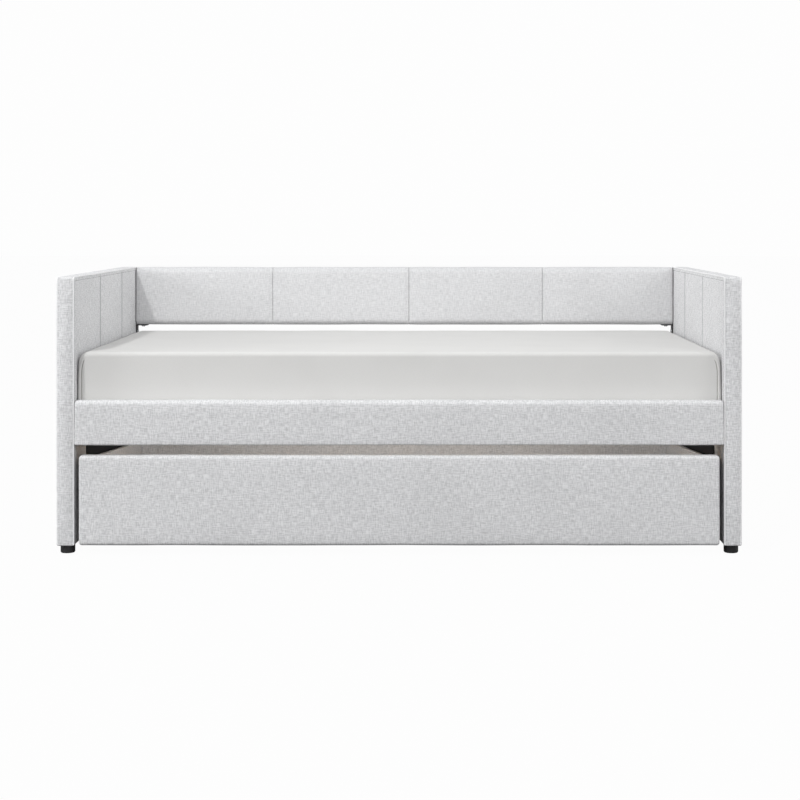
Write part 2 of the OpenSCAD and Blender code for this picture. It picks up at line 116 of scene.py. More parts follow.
def makeStudio():
    lens = bpy.data.cameras.new("camera")
    lens.lens = studio["lens"]
    lens.sensor_width = 36
    lens.shift_x, lens.shift_y = studio["shift"]
    camera = bpy.data.objects.new("camera", lens)
    camera.location = studio["place"]
    camera.rotation_euler = (math.radians(90), 0, 0)
    scene.collection.objects.link(camera)
    scene.camera = camera
    for name, lamp in lamps.items():
        aimLamp(name, lamp)

    white = (studio["white"],) * 3 + (1,)
    room = bpy.data.worlds.new("room")
    room.use_nodes = True
    tree = room.node_tree
    tree.nodes.clear()
    seen = put(tree, "ShaderNodeBackground", {0: white, 1: 1.0})
    facing = put(tree, "ShaderNodeSeparateXYZ", {0: put(tree, "ShaderNodeNewGeometry").outputs["Position"]})
    above = calc(tree, "MULTIPLY_ADD", calc(tree, "ABSOLUTE", facing.outputs[2]), -studio["overhead"],
                 studio["level"])
    above = calc(tree, "MULTIPLY", above, studio["ambient"])
    given = put(tree, "ShaderNodeBackground", {0: studio["tint"] + (1,), 1: above})
    direct = put(tree, "ShaderNodeLightPath").outputs["Is Camera Ray"]
    both = put(tree, "ShaderNodeMixShader", {0: direct, 1: given.outputs[0], 2: seen.outputs[0]})
    put(tree, "ShaderNodeOutputWorld", {0: both.outputs[0]})
    scene.world = room
    scene.view_settings.view_transform = "Standard"

    bpy.ops.mesh.primitive_plane_add(size=studio["floorSpan"])
    floor = bpy.context.object
    floor.name = "floor"
    paint = bpy.data.materials.new("floorPaint")
    paint.use_nodes = True
    tree = paint.node_tree
    tree.nodes.clear()
    matt = put(tree, "ShaderNodeBsdfDiffuse", {0: (studio["floorTone"],) * 3 + (1,)})
    glow = put(tree, "ShaderNodeEmission", {0: white, 1: studio["floorGain"]})
    direct = put(tree, "ShaderNodeLightPath").outputs["Is Camera Ray"]
    share = calc(tree, "MULTIPLY", direct, studio["floorGlow"])
    both = put(tree, "ShaderNodeMixShader", {0: share, 1: matt.outputs[0], 2: glow.outputs[0]})
    put(tree, "ShaderNodeOutputMaterial", {0: both.outputs[0]})
    floor.data.materials.append(paint)


makeStudio()
print("studio ready")


# Shader groups. The woven one works on thread-sized cells of a flat cloth coordinate in metres.
def makeWeave():
    tree, given, result = newGroup("plainWeave", "ShaderNodeTree", {
        "Vector": ("Vector", None), "Thread": ("Float", 0.0011), "Dash": ("Float", 9.0),
        "Wander": ("Float", 0.5), "Contrast": ("Float", 1.6), "Slub": ("Float", 0.8)},
        {"Tone": "Float", "Height": "Float"})
    count = calc(tree, "DIVIDE", 1.0, given["Thread"])
    cells = put(tree, "ShaderNodeVectorMath", {0: given["Vector"], "Scale": count}, operation="SCALE")
    drift = put(tree, "ShaderNodeTexNoise", {"Vector": cells.outputs[0], "Scale": 0.07, "Detail": 1.0})
    offset = put(tree, "ShaderNodeVectorMath", {0: drift.outputs["Color"], 1: (0.5, 0.5, 0.5)},
                 operation="SUBTRACT")
    offset = put(tree, "ShaderNodeVectorMath", {0: offset.outputs[0], "Scale": given["Wander"]},
                 operation="SCALE")
    cells = put(tree, "ShaderNodeVectorMath", {0: cells.outputs[0], 1: offset.outputs[0]}, operation="ADD")
    parts = put(tree, "ShaderNodeSeparateXYZ", {0: cells.outputs[0]}).outputs
    across, along = parts[0], parts[1]
    shades = []
    for u, v, layer in ((across, calc(tree, "DIVIDE", along, given["Dash"]), 0.0),
                        (calc(tree, "DIVIDE", across, given["Dash"]), along, 40.0)):
        place = put(tree, "ShaderNodeCombineXYZ", {0: u, 1: v, 2: layer})
        shades.append(put(tree, "ShaderNodeTexNoise", {
            "Vector": place.outputs[0], "Scale": 0.8, "Detail": 2.0, "Roughness": 0.6}).outputs[0])
    odd = calc(tree, "ADD", calc(tree, "FLOOR", across), calc(tree, "FLOOR", along))
    odd = calc(tree, "FLOORED_MODULO", odd, 2.0)
    tone = put(tree, "ShaderNodeMix", {0: odd, 2: shades[0], 3: shades[1]}).outputs[0]
    thick = []
    for scale in ((0.42, 0.06, 1.0), (0.06, 0.42, 1.0)):
        runs = put(tree, "ShaderNodeMapping", {0: cells.outputs[0], 3: scale})
        thick.append(put(tree, "ShaderNodeTexNoise", {"Vector": runs.outputs[0], "Scale": 1.0,
                                                      "Detail": 1.5}).outputs[0])
    slub = calc(tree, "MULTIPLY", calc(tree, "SUBTRACT", calc(tree, "ADD", *thick), 1.0), given["Slub"])
    tone = calc(tree, "ADD", calc(tree, "SUBTRACT", tone, 0.5), slub)
    tone = calc(tree, "MULTIPLY", tone, given["Contrast"])
    tone = put(tree, "ShaderNodeClamp", {0: calc(tree, "ADD", tone, 0.5)}).outputs[0]
    ridges = []
    for side in (across, along):
        edge = calc(tree, "MULTIPLY_ADD", calc(tree, "FRACT", side), 2.0, -1.0)
        ridges.append(calc(tree, "SUBTRACT", 1.0, calc(tree, "MULTIPLY", edge, edge)))
    over = calc(tree, "MULTIPLY", ridges[0], calc(tree, "MULTIPLY_ADD", ridges[1], 0.5, 0.5))
    under = calc(tree, "MULTIPLY", ridges[1], calc(tree, "MULTIPLY_ADD", ridges[0], 0.5, 0.5))
    height = put(tree, "ShaderNodeMix", {0: odd, 2: over, 3: under}).outputs[0]
    tree.links.new(tone, result["Tone"])
    tree.links.new(height, result["Height"])
    return tree


# Long streaks along X with pores and rings, for solid and layered wood.
def makeGrain():
    tree, given, result = newGroup("woodGrain", "ShaderNodeTree", {
        "Vector": ("Vector", None), "Rings": ("Float", 28.0), "Pores": ("Float", 420.0)},
        {"Tone": "Float", "Height": "Float"})
    long = put(tree, "ShaderNodeMapping", {0: given["Vector"], 3: (0.06, 1.0, 1.0)})
    bend = put(tree, "ShaderNodeTexNoise", {"Vector": long.outputs[0], "Scale": given["Rings"],
                                            "Detail": 3.0, "Distortion": 0.6})
    ring = calc(tree, "SINE", calc(tree, "MULTIPLY", bend.outputs[0], 34.0))
    fine = put(tree, "ShaderNodeMapping", {0: given["Vector"], 3: (0.025, 1.0, 1.0)})
    pore = put(tree, "ShaderNodeTexNoise", {"Vector": fine.outputs[0], "Scale": given["Pores"],
                                            "Detail": 2.0}).outputs[0]
    tone = calc(tree, "MULTIPLY_ADD", ring, 0.22, calc(tree, "MULTIPLY_ADD", pore, 0.9, 0.05))
    tree.links.new(put(tree, "ShaderNodeClamp", {0: tone}).outputs[0], result["Tone"])
    tree.links.new(pore, result["Height"])
    return tree


# Soft blotches and fine specks, for handling marks, dust and powder coats.
def makeSpeckle():
    tree, given, result = newGroup("speckle", "ShaderNodeTree", {
        "Vector": ("Vector", None), "Blotch": ("Float", 9.0), "Grit": ("Float", 900.0)},
        {"Mask": "Float", "Fine": "Float"})
    wide = put(tree, "ShaderNodeTexNoise", {"Vector": given["Vector"], "Scale": given["Blotch"],
                                            "Detail": 4.0}).outputs[0]
    mask = put(tree, "ShaderNodeMapRange", {0: wide, 1: 0.42, 2: 0.68}, interpolation_type="SMOOTHSTEP")
    fine = put(tree, "ShaderNodeTexNoise", {"Vector": given["Vector"], "Scale": given["Grit"],
                                            "Detail": 2.0}).outputs[0]
    tree.links.new(mask.outputs[0], result["Mask"])
    tree.links.new(fine, result["Fine"])
    return tree


groups = {"weave": makeWeave(), "grain": makeGrain(), "speckle": makeSpeckle()}


def useGroup(tree, name, values):
    return put(tree, "ShaderNodeGroup", values, node_tree=groups[name]).outputs


def startMaterial(name, fixed):
    material = bpy.data.materials.new(name)
    material.use_nodes = True
    tree = material.node_tree
    shader = tree.nodes["Principled BSDF"]
    for key, value in fixed.items():
        shader.inputs[key].default_value = value
    return material, tree, shader


def rgba(colour):
    return tuple(colour) + (1.0,)


def blendColour(tree, mask, low, high):
    values = {0: mask}
    for key, value in ((6, low), (7, high)):
        values[key] = value if isinstance(value, bpy.types.NodeSocket) else rgba(value)
    return put(tree, "ShaderNodeMix", values, data_type="RGBA").outputs[2]


def bumped(tree, shader, height, strength, depth):
    bump = put(tree, "ShaderNodeBump", {"Strength": strength, "Distance": depth, "Height": height})
    tree.links.new(bump.outputs[0], shader.inputs["Normal"])


# Cloths: two thread colours, thread size in metres, how long a streak of one colour runs, in threads,
# how strong the slubs are, and how much darker the widest clouds of the cloth are.
cloths = {
    "linen": {"low": (0.575, 0.576, 0.583), "high": (0.862, 0.863, 0.870), "thread": 0.0012, "dash": 8.0,
              "contrast": 1.75, "slub": 1.05, "sheen": 0.05, "bump": 0.45, "depth": 0.0004, "cloud": 0.035},
    "ticking": {"low": (0.655, 0.65, 0.635), "high": (0.75, 0.745, 0.73), "thread": 0.0005, "dash": 5.0,
                "contrast": 1.2, "slub": 0.3, "sheen": 0.08, "bump": 0.2, "depth": 0.0001, "cloud": 0.02},
    "blackFelt": {"low": (0.010, 0.010, 0.011), "high": (0.030, 0.030, 0.032), "thread": 0.0018,
                  "dash": 1.6, "contrast": 2.2, "slub": 0.0, "sheen": 0.0, "bump": 0.35, "depth": 0.0003,
                  "cloud": 0.0},
    "whiteTape": {"low": (0.50, 0.50, 0.49), "high": (0.74, 0.74, 0.72), "thread": 0.0011, "dash": 3.0,
                  "contrast": 1.6, "slub": 0.0, "sheen": 0.1, "bump": 0.6, "depth": 0.0004, "cloud": 0.0},
}


def makeCloth(name, look, source="cloth"):
    material, tree, shader = startMaterial(name, {
        "Sheen Weight": look["sheen"], "Sheen Roughness": 0.45, "IOR": 1.42, "Specular IOR Level": 0.3})
    if source == "cloth":
        flat = put(tree, "ShaderNodeUVMap", uv_map="cloth").outputs[0]
    else:
        flat = put(tree, "ShaderNodeTexCoord").outputs["Object"]
    weave = useGroup(tree, "weave", {"Vector": flat, "Thread": look["thread"], "Dash": look["dash"],
                                     "Contrast": look["contrast"], "Slub": look["slub"]})
    colour = blendColour(tree, weave["Tone"], look["low"], look["high"])
    solid = put(tree, "ShaderNodeTexCoord").outputs["Object"]
    cloud = useGroup(tree, "speckle", {"Vector": solid, "Blotch": 5.0, "Grit": 60.0})
    shade = calc(tree, "MULTIPLY_ADD", cloud["Mask"], -look["cloud"], 1.0)
    tinted = put(tree, "ShaderNodeVectorMath", {0: colour, "Scale": shade}, operation="SCALE")
    tree.links.new(tinted.outputs[0], shader.inputs["Base Color"])
    rough = put(tree, "ShaderNodeMapRange", {0: weave["Height"], 3: 0.95, 4: 0.8})
    tree.links.new(rough.outputs[0], shader.inputs["Roughness"])
    bumped(tree, shader, weave["Height"], look["bump"], look["depth"])
    return material


# Woods: grain runs along X, so a turn about Z of a quarter lays it along Y.
woods = {
    "slatPine": {"low": (0.52, 0.36, 0.20), "high": (0.74, 0.57, 0.36), "turn": 90, "rings": 22.0},
    "boardPine": {"low": (0.42, 0.29, 0.17), "high": (0.62, 0.46, 0.29), "turn": 0, "rings": 18.0},
}


def makeWood(name, look):
    material, tree, shader = startMaterial(name, {"IOR": 1.5, "Coat Weight": 0.08, "Coat Roughness": 0.35})
    solid = put(tree, "ShaderNodeTexCoord").outputs["Object"]
    turned = put(tree, "ShaderNodeMapping", {0: solid, 2: (0, 0, math.radians(look["turn"]))})
    grain = useGroup(tree, "grain", {"Vector": turned.outputs[0], "Rings": look["rings"]})
    dirt = useGroup(tree, "speckle", {"Vector": solid, "Blotch": 7.0, "Grit": 300.0})
    colour = blendColour(tree, grain["Tone"], look["low"], look["high"])
    aged = calc(tree, "MULTIPLY", dirt["Mask"], 0.25)
    colour = blendColour(tree, aged, colour, look["low"])
    tree.links.new(colour, shader.inputs["Base Color"])
    rough = put(tree, "ShaderNodeMapRange", {0: grain["Height"], 3: 0.42, 4: 0.68})
    tree.links.new(rough.outputs[0], shader.inputs["Roughness"])
    bumped(tree, shader, grain["Height"], 0.25, 0.0003)
    return material


# Hard finishes: clean and rubbed colour, and the roughness of each.
hards = {
    "powderSteel": {"clean": (0.016, 0.016, 0.017), "rubbed": (0.045, 0.045, 0.047), "metal": 0.0,
                    "smooth": 0.42, "dull": 0.62, "grit": 1400.0, "bump": 0.25},
    "zincSteel": {"clean": (0.60, 0.61, 0.63), "rubbed": (0.42, 0.42, 0.43), "metal": 1.0,
                  "smooth": 0.22, "dull": 0.45, "grit": 700.0, "bump": 0.08},
    "footRubber": {"clean": (0.013, 0.013, 0.014), "rubbed": (0.040, 0.040, 0.041), "metal": 0.0,
                   "smooth": 0.38, "dull": 0.58, "grit": 1100.0, "bump": 0.12},
    "wheelNylon": {"clean": (0.018, 0.018, 0.019), "rubbed": (0.055, 0.054, 0.052), "metal": 0.0,
                   "smooth": 0.35, "dull": 0.6, "grit": 900.0, "bump": 0.15},
    # seamShade is painted shade: thin dark cords that stand for the shadow in seam grooves and along the
    # arms' edges.
    "seamShade": {"clean": (0.33, 0.33, 0.34), "rubbed": (0.40, 0.40, 0.41), "metal": 0.0,
                  "smooth": 0.8, "dull": 0.9, "grit": 2500.0, "bump": 0.3},
    # tickingShade is painted shade: a thin dark cord for the shadow beside the mattress's corner welts.
    "tickingShade": {"clean": (0.27, 0.26, 0.24), "rubbed": (0.34, 0.33, 0.31), "metal": 0.0,
                     "smooth": 0.8, "dull": 0.9, "grit": 2500.0, "bump": 0.3},
    "sewingThread": {"clean": (0.70, 0.70, 0.715), "rubbed": (0.62, 0.62, 0.635), "metal": 0.0,
                     "smooth": 0.6, "dull": 0.75, "grit": 2500.0, "bump": 0.3},
}


def makeHard(name, look):
    material, tree, shader = startMaterial(name, {"IOR": 1.5})
    solid = put(tree, "ShaderNodeTexCoord").outputs["Object"]
    marks = useGroup(tree, "speckle", {"Vector": solid, "Blotch": 26.0, "Grit": look["grit"]})
    share = calc(tree, "MULTIPLY", marks["Mask"], calc(tree, "MULTIPLY_ADD", marks["Fine"], 0.8, 0.2))
    tree.links.new(blendColour(tree, share, look["clean"], look["rubbed"]), shader.inputs["Base Color"])
    rough = put(tree, "ShaderNodeMapRange", {0: share, 3: look["smooth"], 4: look["dull"]})
    tree.links.new(rough.outputs[0], shader.inputs["Roughness"])
    shader.inputs["Metallic"].default_value = look["metal"]
    bumped(tree, shader, marks["Fine"], look["bump"], 0.0002)
    return material


# A darker linen for the back panel, painted shade that dims it, and a paler one for the arms' welts, a
# painted highlight along them.
cloths["linenShade"] = dict(cloths["linen"], low=(0.53, 0.531, 0.538), high=(0.80, 0.801, 0.808),
                            contrast=1.0)
# The welts' paler linen is a painted highlight along the arms' edges.
weltHighlightLook = dict(cloths["linen"], low=(0.80, 0.80, 0.805), high=(0.96, 0.96, 0.965))
finish = {name: makeCloth(name, look) for name, look in cloths.items()}
finish["weltPaintedHighlight"] = makeCloth("weltPaintedHighlight", weltHighlightLook, "solid")
finish["tickingCord"] = makeCloth("tickingCord", cloths["ticking"], "solid")
finish.update({name: makeWood(name, look) for name, look in woods.items()})
finish.update({name: makeHard(name, look) for name, look in hards.items()})
print("finishes ready")


# Upholstered shells: a surface grid on a box, rounded at the edges, crowned between the seams.
seamSpread = (1.0, 2.4, 4.0, 6.0, 8.5, 12.0, 17.0)  # grid lines beside a seam, in mm
edgeTurns = (0, 15, 30, 45)                         # degrees round an edge, from the flat to its middle
finestGap = 0.35                                    # grid lines nearer than this are merged, in mm
narrow = 80                                         # a span below this is crowned as one even arch
wallThick = 1.4                                     # wall of a cover that is open at one side

# A sewn seam, in mm from it: the groove, the ridges beside it and the pressed line past them.
seamShape = {"groove": 1.9, "ridge": 0.45, "ridgeAt": 4.6, "ridgeWide": 2.3, "press": 0.22,
             "pressAt": 8.0, "pressWide": 1.3}

# Unevenness of stretched cloth: size of a ripple and its height, in mm.
seamRipple = {"reach": 14, "size": 16, "height": 0.2}
wideRipple = 140
fineRipple = {"size": 22, "height": 0.12}


def rulings(low, high, step, edges, seams=()):
    fixed = {low, high}
    for radius in edges:
        for turn in edgeTurns:
            inward = radius * (1 - math.tan(math.radians(turn)))
            fixed |= {low + inward, high - inward}
    for seam in seams:
        fixed |= {seam} | {seam + side * d for d in seamSpread for side in (-1, 1)}
    lines = [low]
    for line in sorted(fixed):
        gap = line - lines[-1]
        if gap < finestGap or not low < line <= high:
            continue
        if line != high and high - line < finestGap:
            continue
        start, parts = lines[-1], max(1, math.ceil(gap / step))
        lines += [start + gap * k / parts for k in range(1, parts + 1)]
    return np.array(lines)


# Every corner of the grid that lies on the box's surface, and the quads between them, facing out.
def boxGrid(xs, ys, zs):
    lines = (xs, ys, zs)
    found, points, quads = {}, [], []

    def corner(*at):
        if at not in found:
            found[at] = len(points)
            points.append([lines[axis][at[axis]] for axis in range(3)])
        return found[at]

    for axis in range(3):
        u, v = (axis + 1) % 3, (axis + 2) % 3
        for end in (0, len(lines[axis]) - 1):
            for a in range(len(lines[u]) - 1):
                for b in range(len(lines[v]) - 1):
                    quad = []
                    for da, db in ((0, 0), (1, 0), (1, 1), (0, 1)):
                        at = [0, 0, 0]
                        at[axis], at[u], at[v] = end, a + da, b + db
                        quad.append(corner(*at))
                    quads.append(quad if end else quad[::-1])
    return np.array(points), quads


def roundOff(points, low, high, radii):
    core = np.clip(points, low + radii, high - radii)
    away = (points - core) / radii
    away /= np.linalg.norm(away, axis=1)[:, None]
    outward = away / radii
    return core + away * radii, outward / np.linalg.norm(outward, axis=1)[:, None]


# 1 in the middle of a span and 0 at its ends; a higher power keeps the middle flatter.
def bump(values, low, high, power):
    middle = np.clip((values - low) / (high - low), 0, 1) * 2 - 1
    return 1 - np.abs(middle) ** power


# The same between neighbouring seams.
def panels(values, low, high, seams, power):
    stops = [low, *seams, high]
    total = np.zeros(len(values))
    for left, right in zip(stops, stops[1:]):
        inside = (values >= left) & (values <= right)
        total[inside] = bump(values[inside], left, right, power)
    return total


def seamDip(distance, depth):
    away = np.abs(distance)
    form = seamShape
    groove = -depth * np.exp(-(away / form["groove"]) ** 2)
    ridge = form["ridge"] * depth * np.exp(-((away - form["ridgeAt"]) / form["ridgeWide"]) ** 2)
    press = -form["press"] * depth * np.exp(-((away - form["pressAt"]) / form["pressWide"]) ** 2)
    return groove + ridge + press


def ripple(points, size, seed):
    shift = Vector((seed * 3.7, seed * 1.3, seed * 5.1))
    return np.array([noise.noise(Vector(p) / size + shift) for p in points])


def meshPiece(name, points, quads, material, flat):
    mesh = bpy.data.meshes.new(name)
    mesh.from_pydata([tuple(p) for p in np.asarray(points) * mm], [], quads)
    mesh.polygons.foreach_set("use_smooth", [True] * len(mesh.polygons))
    layer = mesh.uv_layers.new(name="cloth")
    layer.data.foreach_set("uv", (np.asarray(flat) * mm).astype(np.float32).ravel())
    mesh.materials.append(material)
    mesh.update()
    piece = bpy.data.objects.new(name, mesh)
    scene.collection.objects.link(piece)
    return piece


# Cloth coordinates in mm: each side of the box is laid flat on its own.
def layFlat(points, quads):
    corners = points[np.array(quads)]
    spread = corners.max(1) - corners.min(1)
    thin = spread.argmin(1)
    flat = np.empty((len(quads), 4, 2))
    for axis, (u, v) in enumerate(((1, 2), (0, 2), (0, 1))):
        mask = thin == axis
        flat[mask] = corners[mask][:, :, (u, v)]
    return flat.reshape(-1, 2)


# A wrapped panel, in mm. crown gives the height of the padding on each pair of sides, crownFrom the
# heights between which it sets in, and open the side left off, with the width of its hem. Seams run round.
def wrapPanel(name, look, material, body, stands):
    low, high = np.array(look["low"], float), np.array(look["high"], float)
    radii = np.array(look["radii"], float)
    seams = look.get("seams", {})
    topRadii = np.array(look.get("topRadii", look["radii"]), float)
    lines = [rulings(low[axis], high[axis], look["step"],
                     {radii[axis], topRadii[axis]} | look.get("more", {}).get(axis, set()),
                     seams.get(axis, ())) for axis in range(3)]
    points, quads = boxGrid(*lines)
    flat = layFlat(points, quads)
    if look.get("open"):
        axis, side, band = look["open"]
        end = high[axis] if side > 0 else low[axis]
        others = [a for a in range(3) if a != axis]
        kept = []
        for n, quad in enumerate(quads):
            corners = points[quad]
            middle = corners.mean(0)
            inner = all(low[a] + band < middle[a] < high[a] - band for a in others)
            if not (np.all(corners[:, axis] == end) and inner):
                kept.append(n)
        flat = flat.reshape(-1, 4, 2)[kept].reshape(-1, 2)
        quads = [quads[n] for n in kept]
    share = np.clip((points[:, 2] - low[2]) / (high[2] - low[2]), 0, 1)
    share = (share * share * (3 - 2 * share)) ** look.get("late", 1)
    spreadRadii = radii + (topRadii - radii) * share[:, None]
    shaped, outward = roundOff(points, low, high, spreadRadii)
    height = np.zeros(len(points))
    for axis in range(3):
        others = [a for a in range(3) if a != axis]
        for side, tall in zip((-1, 1), look["crown"][axis]):
            cover = np.ones(len(points))
            for a in others:
                wide = high[a] - low[a]
                power = 2 if wide < narrow else look["flatness"]
                cover *= panels(points[:, a], low[a], high[a], seams.get(a, ()), power)
            if "crownFrom" in look and axis == look["crownFrom"][0]:
                start, full = look["crownFrom"][1:]
                cover *= np.clip((points[:, 2] - start) / (full - start), 0, 1)
            height += tall * cover * np.clip(outward[:, axis] * side, 0, 1)
    for axis, marks in seams.items():
        for mark in marks:
            distance = points[:, axis] - mark
            height += seamDip(distance, look["seamDepth"])
            near = np.exp(-(distance / seamRipple["reach"]) ** 2)
            height += seamRipple["height"] * near * ripple(points, seamRipple["size"], look["seed"] + 3)
    fine = fineRipple["height"] * ripple(points, fineRipple["size"], look["seed"] + 1)
    height += look["waves"] * ripple(points, wideRipple, look["seed"]) + fine
    shaped += outward * height[:, None]
    if "slope" in look:
        front, rear = look["slope"]
        part = np.clip((shaped[:, 1] - low[1]) / (high[1] - low[1]), 0, 1)
        top = front + (rear - front) * part
        shaped[:, 2] = low[2] + (shaped[:, 2] - low[2]) * (top - low[2]) / (high[2] - low[2])
    piece = meshPiece(name, shaped, quads, material, flat)
    if look.get("open"):
        wall = piece.modifiers.new("wall", "SOLIDIFY")
        wall.thickness = wallThick * mm
        wall.offset = -1
        wall.use_even_offset = True
        applyModifiers(piece)
    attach(piece, body)
    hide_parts(*stands)
    return piece


def applyModifiers(piece):
    depsgraph = bpy.context.evaluated_depsgraph_get()
    made = bpy.data.meshes.new_from_object(piece.evaluated_get(depsgraph), depsgraph=depsgraph)
    made.name = piece.name
    piece.modifiers.clear()
    piece.data = made


armLook = {
    "x": (960.8, 1012.6), "y": (-530.5, 535.5), "z": (25.2, 819.2),
    "radii": (8, 8, 3), "topRadii": (7, 7, 7), "step": 13,
    "crown": {0: (1.0, 1.0), 1: (8.5, 2.0), 2: (0.2, 2.2)}, "crownFrom": (0, 590, 700), "flatness": 5,
    "seams": {1: (-137.5, 229.5)}, "seamDepth": 3.0, "waves": 0.4,
}
covers = {}
for side, label in ((-1, "left"), (1, "right")):
    look = dict(armLook, seed=11 + side)
    ends = sorted(side * x for x in look["x"])
    look["low"] = (ends[0], look["y"][0], look["z"][0])
    look["high"] = (ends[1], look["y"][1], look["z"][1])
    covers[label] = wrapPanel(label + "ArmPanel", look, finish["linen"], "bed_frame",
                              [label + "_arm_cover", label + "_arm_core"])

backLook = {
    "low": (-959.5, 487.0, 615.0), "high": (959.5, 536.5, 818.8), "radii": (5, 19, 20),
    "topRadii": (5, 21, 21), "step": 14, "crown": {0: (0, 0), 1: (2.6, 1.4), 2: (0.8, 1.2)}, "flatness": 6,
    "seams": {0: (-470.0, 16.0, 492.0)}, "seamDepth": 1.2, "waves": 0.8, "seed": 23, "topstitch": 10.6,
}
# The back panel's cover is the darker linen: painted shade.
covers["back"] = wrapPanel("backPanel", backLook, finish["linenShade"], "bed_frame",
                           ["back_panel_cover", "back_panel_core"])

railLook = {
    "z": (323.4, 454.4), "radii": (8, 5, 4), "topRadii": (8, 11, 12), "step": 14,
    "crown": {0: (0, 0), 1: (2.0, 0.6), 2: (0.3, 1.0)}, "flatness": 6, "seamDepth": 0, "waves": 0.7,
}
for label, yEnds, seed in (("front", (-535.8, -493.0), 31), ("rear", (493.0, 535.8), 33)):
    look = dict(railLook, low=(-959.3, yEnds[0], railLook["z"][0]), seed=seed,
                high=(959.3, yEnds[1], railLook["z"][1]))
    if label == "rear":
        look["crown"] = {0: (0, 0), 1: (0.6, 2.0), 2: (0.3, 1.0)}
    covers[label + "Rail"] = wrapPanel(label + "Rail", look, finish["linen"], "bed_frame",
                                       [label + "_rail_cover", label + "_rail_core"])

drawerLook = {
    "low": (-946.2, -535.6, 27.4), "high": (946.2, -492.2, 292.2), "radii": (9, 9, 9), "step": 14,
    "crown": {0: (0.5, 0.5), 1: (2.0, 0), 2: (0.3, 1.0)}, "flatness": 6, "seamDepth": 0, "waves": 0.8,
    "seed": 41, "open": (1, 1, 38),
}
covers["trundleFront"] = wrapPanel("trundleFront", drawerLook, finish["linen"], "trundle",
                                   ["trundle_front_cover"])

woodLook = {
    "low": (-941.0, -531.0, 35.0), "high": (941.0, -493.2, 290.0), "radii": (6, 6, 6), "step": 60,
    "crown": {0: (0, 0), 1: (0, 0), 2: (0, 0)}, "flatness": 6, "seamDepth": 0, "waves": 0, "seed": 43,
}
wrapPanel("trundleFrontBoard", woodLook, finish["boardPine"], "trundle",
          ["trundle_front_core"])

boardLook = {
    "radii": (3, 4, 4), "step": 16, "crown": {0: (0.4, 0.4), 1: (0, 0), 2: (0, 0.2)}, "flatness": 6,
    "seamDepth": 0, "waves": 0.4,
}
for side, label in ((-1, "left"), (1, "right")):
    ends = sorted((side * 928.2, side * 943.8))
    look = dict(boardLook, low=(ends[0], -492.0, 40.3), high=(ends[1], 451.8, 276.6), seed=51 + side,
                slope=(276.6, 204.8))
    covers[label + "Board"] = wrapPanel(f"trundle{label.title()}Board", look, finish["linen"], "trundle",
                                        [f"trundle_{label}_side"])
look = dict(boardLook, low=(-943.8, 452.2, 40.3), high=(943.8, 467.8, 204.8), seed=57, radii=(4, 3, 4),
            crown={0: (0, 0), 1: (0.4, 0.4), 2: (0, 0.2)})
covers["backBoard"] = wrapPanel("trundleBackBoard", look, finish["linen"], "trundle",
                                ["trundle_back_board"])
print("panels wrapped")


# Mattress: a closed sleeve blown up by its filling, held flat where it lies on the slats.
mattressLook = {
    "low": (-961.2, -487.5, 391.0), "high": (961.2, 480.0, 595.8), "radii": (6, 6, 12),
    "topRadii": (13, 13, 14), "late": 3, "step": 16, "crown": {0: (0, 0), 1: (0, 0), 2: (0, 0)},
    "flatness": 6, "seamDepth": 0, "waves": 0, "seed": 61, "pressure": 4.0, "frames": 20, "swell": 2.5,
    "quality": 4, "mass": 0.3, "rest": 397.0, "endRound": (28, 46), "more": {0: {28}},
    "drift": 0.9, "driftSize": 170, "driftRise": 20,
}


# The top rounds over at each end.
def settle(piece, look):
    place = np.array([v.co for v in piece.data.vertices]) / mm
    wide, tall = look["endRound"]
    share = np.clip((place[:, 2] - look["low"][2]) / (look["high"][2] - look["low"][2]), 0, 1)
    end = np.clip((np.abs(place[:, 0]) - look["high"][0] + wide) / wide, 0, 1)
    place[:, 2] -= share * (tall * (1 - np.sqrt(1 - end ** 2)))
    piece.data.vertices.foreach_set("co", (place * mm).ravel())
    piece.data.update()


def blowUp(piece, look):
    held = piece.vertex_groups.new(name="held")
    for vertex in piece.data.vertices:
        if vertex.co.z < look["rest"] * mm:
            held.add([vertex.index], 1.0, "REPLACE")
    cloth = piece.modifiers.new("filling", "CLOTH")
    settings = cloth.settings
    settings.quality = look["quality"]
    settings.mass = look["mass"]
    settings.use_pressure = True
    settings.uniform_pressure_force = look["pressure"]
    settings.effector_weights.gravity = 0
    settings.vertex_group_mass = "held"
    cloth.point_cache.frame_start = 1
    cloth.point_cache.frame_end = look["frames"]
    scene.frame_start, scene.frame_end = 1, look["frames"]
    for step in range(1, look["frames"] + 1):
        scene.frame_set(step)
    depsgraph = bpy.context.evaluated_depsgraph_get()
    blown = piece.evaluated_get(depsgraph).to_mesh()
    rest = np.empty(len(piece.data.vertices) * 3)
    now = np.empty_like(rest)
    piece.data.vertices.foreach_get("co", rest)
    blown.vertices.foreach_get("co", now)
    piece.evaluated_get(depsgraph).to_mesh_clear()
    piece.modifiers.clear()
    scene.frame_set(1)
    rest, move = rest.reshape(-1, 3), (now - rest).reshape(-1, 3)
    far = np.linalg.norm(move, axis=1)[:, None]
    limit = look["swell"] * mm
    eased = limit * np.tanh(far / limit)
    piece.data.vertices.foreach_set("co", (rest + move / np.maximum(far, 1e-9) * eased).ravel())
    print("mattress filled, swelled by up to", round(float(eased.max()) / mm, 2), "mm")


